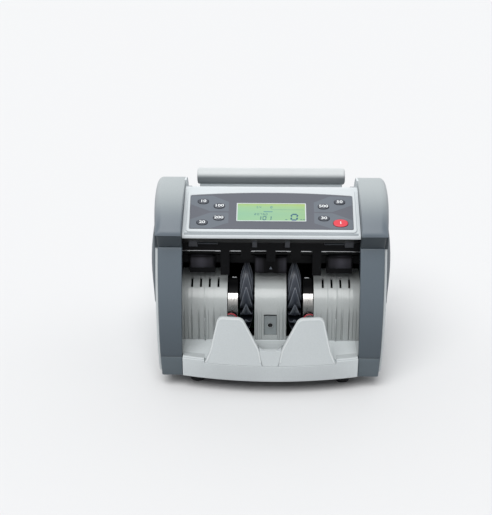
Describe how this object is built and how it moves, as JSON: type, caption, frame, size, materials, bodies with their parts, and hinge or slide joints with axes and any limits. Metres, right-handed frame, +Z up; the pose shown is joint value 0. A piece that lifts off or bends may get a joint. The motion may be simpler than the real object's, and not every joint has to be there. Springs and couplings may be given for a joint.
{
  "type": "banknote counter",
  "caption": "Desktop banknote counter with a sloping control panel, rear hopper, finned impellers and an open stacker with a fingered front stop.",
  "frame": {"origin": "on the surface it stands on, at the middle of its footprint", "axes": "+X to the machine's right as seen from the front, +Y towards its rear, +Z up"},
  "size_m": [0.2676, 0.238, 0.2082],
  "materials": {
    "blue_grey": "fine texture, blue-grey",
    "pale": "fine texture, pale grey",
    "silver": "satin silver paint",
    "black": "satin black",
    "rubber": "matt black",
    "steel": "bright",
    "dark_steel": "dark",
    "film": "satin printed film",
    "display": "green display behind a clear window",
    "key_dark": "dark keys",
    "key_red": "red key",
    "circuit": "green circuit board"
  },
  "bodies": {
    "casing": {"side_hood_left": "blue_grey", "side_hood_right": "blue_grey", "side_column_left": "blue_grey", "side_column_right": "blue_grey", "base_corner_left": "blue_grey", "base_corner_right": "blue_grey", "side_grip_left": "blue_grey", "side_grip_right": "blue_grey", "side_panel_left": "pale", "side_panel_right": "pale", "side_frame_left": "dark_steel", "side_frame_right": "dark_steel", "stacker_plate_left": "pale", "stacker_plate_centre": "pale", "stacker_plate_right": "pale", "sensor_bracket_left": "steel", "sensor_bracket_right": "steel", "foot_front_left": "rubber", "foot_front_right": "rubber", "foot_rear_left": "rubber", "foot_rear_right": "rubber", "base_pan": "dark_steel", "stacker_tray": "pale", "stacker_stop": "pale", "stack_sensor": "black", "main_motor": "steel", "drive_belt": "rubber", "upper_note_guide": "black", "lower_note_guide": "black", "guide_rod": "steel", "front_cover": "silver", "control_overlay": "film", "display_window": "display", "control_board": "circuit", "hopper_plate": "pale", "hopper_back_support": "pale", "rear_cover": "pale", "power_inlet": "black", "main_board": "circuit", "transformer": "dark_steel"},
    "impellers": {"impeller_shaft": "steel", "impeller_left": "rubber", "impeller_right": "rubber"},
    "feeder": {"feed_shaft": "steel", "feed_roller_left": "rubber", "feed_roller_right": "rubber"},
    "transport": {"transport_shaft": "steel"},
    "motor_rotor": {"motor_pulley": "steel"},
    "guide_left": {"hopper_guide_left": "pale"},
    "guide_right": {"hopper_guide_right": "pale"},
    "rocker": {"power_switch": "black"},
    "knob": {"gap_knob": "black"},
    "key_1": {"key_1": "key_dark"},
    "key_2": {"key_2": "key_dark"},
    "key_3": {"key_3": "key_dark"},
    "key_4": {"key_4": "key_dark"},
    "key_5": {"key_5": "key_dark"},
    "key_6": {"key_6": "key_dark"},
    "key_7": {"key_7": "key_dark"},
    "key_start": {"key_start": "key_red"}
  },
  "joints": [
    {"name": "transport_spin", "type": "hinge", "parent": "casing", "child": "transport", "pos_m": [0, 0.002, 0.138], "axis": [1, 0, 0], "continuous": true},
    {"name": "motor_spin", "type": "hinge", "parent": "casing", "child": "motor_rotor", "pos_m": [0, 0.07, 0.045], "axis": [1, 0, 0], "continuous": true},
    {"name": "feed_spin", "type": "hinge", "parent": "casing", "child": "feeder", "pos_m": [0, 0.032, 0.151], "axis": [1, 0, 0], "continuous": true},
    {"name": "impeller_spin", "type": "hinge", "parent": "casing", "child": "impellers", "pos_m": [0, -0.03, 0.077], "axis": [1, 0, 0], "continuous": true},
    {"name": "guide_left_slide", "type": "slide", "parent": "casing", "child": "guide_left", "axis": [1, 0, 0], "range_m": [0, 0.015]},
    {"name": "guide_right_slide", "type": "slide", "parent": "casing", "child": "guide_right", "axis": [-1, 0, 0], "range_m": [0, 0.015]},
    {"name": "rocker_tilt", "type": "hinge", "parent": "casing", "child": "rocker", "pos_m": [-0.04, 0.115, 0.042], "axis": [-1, 0, 0], "range_deg": [0, 14]},
    {"name": "knob_turn", "type": "hinge", "parent": "casing", "child": "knob", "pos_m": [0, 0.1045, 0.1663], "axis": [0, 0, 1], "range_deg": [-180, 180]},
    {"name": "key_1_press", "type": "slide", "parent": "casing", "child": "key_1", "axis": [0, 0.4879, -0.8729], "range_m": [0, 0.0008], "stiffness_N_per_m": 600},
    {"name": "key_2_press", "type": "slide", "parent": "casing", "child": "key_2", "axis": [0, 0.4879, -0.8729], "range_m": [0, 0.0008], "stiffness_N_per_m": 600},
    {"name": "key_3_press", "type": "slide", "parent": "casing", "child": "key_3", "axis": [0, 0.4879, -0.8729], "range_m": [0, 0.0008], "stiffness_N_per_m": 600},
    {"name": "key_4_press", "type": "slide", "parent": "casing", "child": "key_4", "axis": [0, 0.4879, -0.8729], "range_m": [0, 0.0008], "stiffness_N_per_m": 600},
    {"name": "key_5_press", "type": "slide", "parent": "casing", "child": "key_5", "axis": [0, 0.4879, -0.8729], "range_m": [0, 0.0008], "stiffness_N_per_m": 600},
    {"name": "key_6_press", "type": "slide", "parent": "casing", "child": "key_6", "axis": [0, 0.4879, -0.8729], "range_m": [0, 0.0008], "stiffness_N_per_m": 600},
    {"name": "key_7_press", "type": "slide", "parent": "casing", "child": "key_7", "axis": [0, 0.4879, -0.8729], "range_m": [0, 0.0008], "stiffness_N_per_m": 600},
    {"name": "key_start_press", "type": "slide", "parent": "casing", "child": "key_start", "axis": [0, 0.4879, -0.8729], "range_m": [0, 0.0008], "stiffness_N_per_m": 600}
  ],
  "couplings": [
    {"joint": "motor_spin", "follows": "transport_spin", "ratio": 1.25},
    {"joint": "feed_spin", "follows": "transport_spin", "ratio": 0.83333},
    {"joint": "impeller_spin", "follows": "transport_spin", "ratio": 0.71429},
    {"joint": "guide_right_slide", "follows": "guide_left_slide", "ratio": 1}
  ]
}
